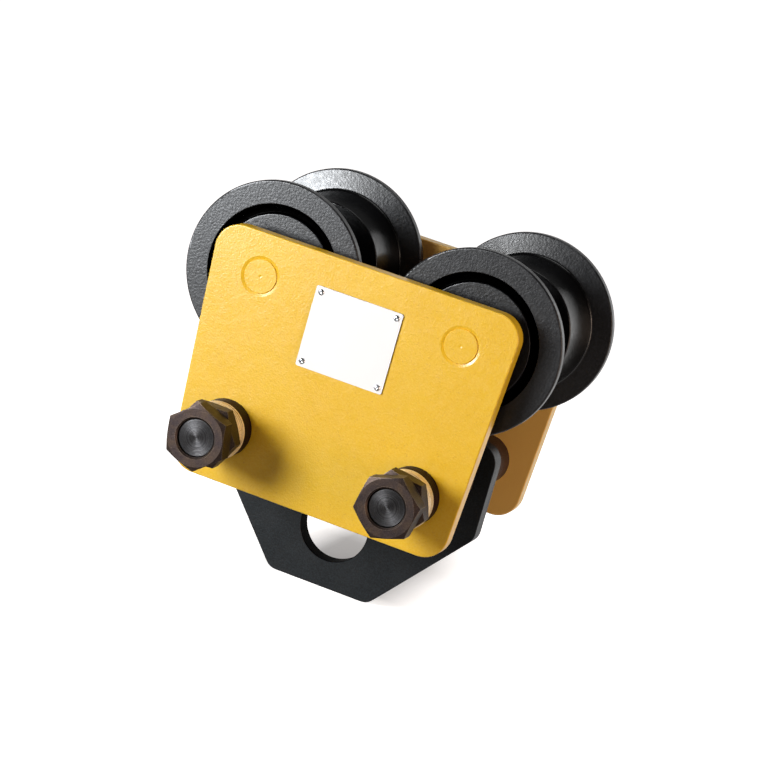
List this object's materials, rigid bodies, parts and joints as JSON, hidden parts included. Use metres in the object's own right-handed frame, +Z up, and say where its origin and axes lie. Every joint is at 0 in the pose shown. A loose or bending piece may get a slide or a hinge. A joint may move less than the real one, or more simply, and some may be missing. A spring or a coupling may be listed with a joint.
{
  "type": "beam trolley",
  "caption": "Push trolley for the bottom flange of a beam: flanged wheels between yellow side plates, joined by load bolts to a central plate with a load eye.",
  "frame": {"origin": "middle of the beam's running surface: under the middle of the treads, midway between the axles and midway between the side plates", "axes": "+X along the beam, +Y across the beam from the front side plate (with the name plate) to the rear one, +Z up"},
  "size_m": [0.279, 0.291, 0.2829],
  "materials": {
    "yellow_paint": "warm yellow enamel, slight orange peel",
    "load_plate_paint": "blue-black satin paint",
    "dark_bolt_steel": "turned, black oxide",
    "dark_nut_steel": "brown-black oxide",
    "tube_steel": "dark brown-black oxide",
    "spacer_steel": "dark brown-black oxide",
    "yellow_zinc": "yellow passivated zinc",
    "pale_zinc": "pale yellow passivated zinc",
    "name_plate_metal": "white anodised",
    "rivet_metal": "bright",
    "axle_steel": "turned",
    "spring_steel": "oiled spring steel",
    "bearing_steel": "ground",
    "ball_steel": "polished",
    "cage_brass": "machined",
    "seal_metal": "pressed sheet",
    "wheel_paint": "black semi-matt paint",
    "cap_paint": "black semi-matt paint"
  },
  "bodies": {
    "trolley_frame": {"side_plate_front": "yellow_paint", "side_plate_rear": "yellow_paint", "load_plate": "load_plate_paint", "load_bolt_left": "dark_bolt_steel", "load_bolt_right": "dark_bolt_steel", "distance_tubes": "tube_steel", "outer_spacers": "spacer_steel", "thin_washers": "yellow_zinc", "thick_washers": "pale_zinc", "jam_nuts": "dark_nut_steel", "outer_nuts": "dark_nut_steel", "name_plate": "name_plate_metal", "name_plate_rivets": "rivet_metal", "axle_front_left": "axle_steel", "axle_sleeve_front_left": "axle_steel", "axle_retaining_ring_front_left": "spring_steel", "bearing_inner_rings_front_left": "bearing_steel", "axle_front_right": "axle_steel", "axle_sleeve_front_right": "axle_steel", "axle_retaining_ring_front_right": "spring_steel", "bearing_inner_rings_front_right": "bearing_steel", "axle_rear_left": "axle_steel", "axle_sleeve_rear_left": "axle_steel", "axle_retaining_ring_rear_left": "spring_steel", "bearing_inner_rings_rear_left": "bearing_steel", "axle_rear_right": "axle_steel", "axle_sleeve_rear_right": "axle_steel", "axle_retaining_ring_rear_right": "spring_steel", "bearing_inner_rings_rear_right": "bearing_steel"},
    "rolling_wheel_front_left": {"wheel_front_left": "wheel_paint", "bearing_outer_rings_front_left": "bearing_steel", "bearing_seals_front_left": "seal_metal", "wheel_retaining_ring_front_left": "spring_steel", "wheel_cap_front_left": "cap_paint"},
    "ball_set_front_left": {"bearing_balls_front_left": "ball_steel", "bearing_cages_front_left": "cage_brass"},
    "rolling_wheel_front_right": {"wheel_front_right": "wheel_paint", "bearing_outer_rings_front_right": "bearing_steel", "bearing_seals_front_right": "seal_metal", "wheel_retaining_ring_front_right": "spring_steel", "wheel_cap_front_right": "cap_paint"},
    "ball_set_front_right": {"bearing_balls_front_right": "ball_steel", "bearing_cages_front_right": "cage_brass"},
    "rolling_wheel_rear_left": {"wheel_rear_left": "wheel_paint", "bearing_outer_rings_rear_left": "bearing_steel", "bearing_seals_rear_left": "seal_metal", "wheel_retaining_ring_rear_left": "spring_steel", "wheel_cap_rear_left": "cap_paint"},
    "ball_set_rear_left": {"bearing_balls_rear_left": "ball_steel", "bearing_cages_rear_left": "cage_brass"},
    "rolling_wheel_rear_right": {"wheel_rear_right": "wheel_paint", "bearing_outer_rings_rear_right": "bearing_steel", "bearing_seals_rear_right": "seal_metal", "wheel_retaining_ring_rear_right": "spring_steel", "wheel_cap_rear_right": "cap_paint"},
    "ball_set_rear_right": {"bearing_balls_rear_right": "ball_steel", "bearing_cages_rear_right": "cage_brass"}
  },
  "joints": [
    {"name": "front_left_wheel_spin", "type": "hinge", "parent": "trolley_frame", "child": "rolling_wheel_front_left", "pos_m": [-0.075, -0.04675, 0.0468], "axis": [0, 1, 0], "continuous": true},
    {"name": "front_left_ball_set_roll", "type": "hinge", "parent": "trolley_frame", "child": "ball_set_front_left", "pos_m": [-0.075, -0.04675, 0.0468], "axis": [0, 1, 0], "continuous": true},
    {"name": "front_right_wheel_spin", "type": "hinge", "parent": "trolley_frame", "child": "rolling_wheel_front_right", "pos_m": [0.075, -0.04675, 0.0468], "axis": [0, 1, 0], "continuous": true},
    {"name": "front_right_ball_set_roll", "type": "hinge", "parent": "trolley_frame", "child": "ball_set_front_right", "pos_m": [0.075, -0.04675, 0.0468], "axis": [0, 1, 0], "continuous": true},
    {"name": "rear_left_wheel_spin", "type": "hinge", "parent": "trolley_frame", "child": "rolling_wheel_rear_left", "pos_m": [-0.075, 0.04675, 0.0468], "axis": [0, 1, 0], "continuous": true},
    {"name": "rear_left_ball_set_roll", "type": "hinge", "parent": "trolley_frame", "child": "ball_set_rear_left", "pos_m": [-0.075, 0.04675, 0.0468], "axis": [0, 1, 0], "continuous": true},
    {"name": "rear_right_wheel_spin", "type": "hinge", "parent": "trolley_frame", "child": "rolling_wheel_rear_right", "pos_m": [0.075, 0.04675, 0.0468], "axis": [0, 1, 0], "continuous": true},
    {"name": "rear_right_ball_set_roll", "type": "hinge", "parent": "trolley_frame", "child": "ball_set_rear_right", "pos_m": [0.075, 0.04675, 0.0468], "axis": [0, 1, 0], "continuous": true}
  ],
  "couplings": [
    {"joint": "front_left_ball_set_roll", "follows": "front_left_wheel_spin", "ratio": 0.60339},
    {"joint": "front_right_ball_set_roll", "follows": "front_right_wheel_spin", "ratio": 0.60339},
    {"joint": "rear_left_ball_set_roll", "follows": "rear_left_wheel_spin", "ratio": 0.60339},
    {"joint": "rear_right_ball_set_roll", "follows": "rear_right_wheel_spin", "ratio": 0.60339}
  ]
}
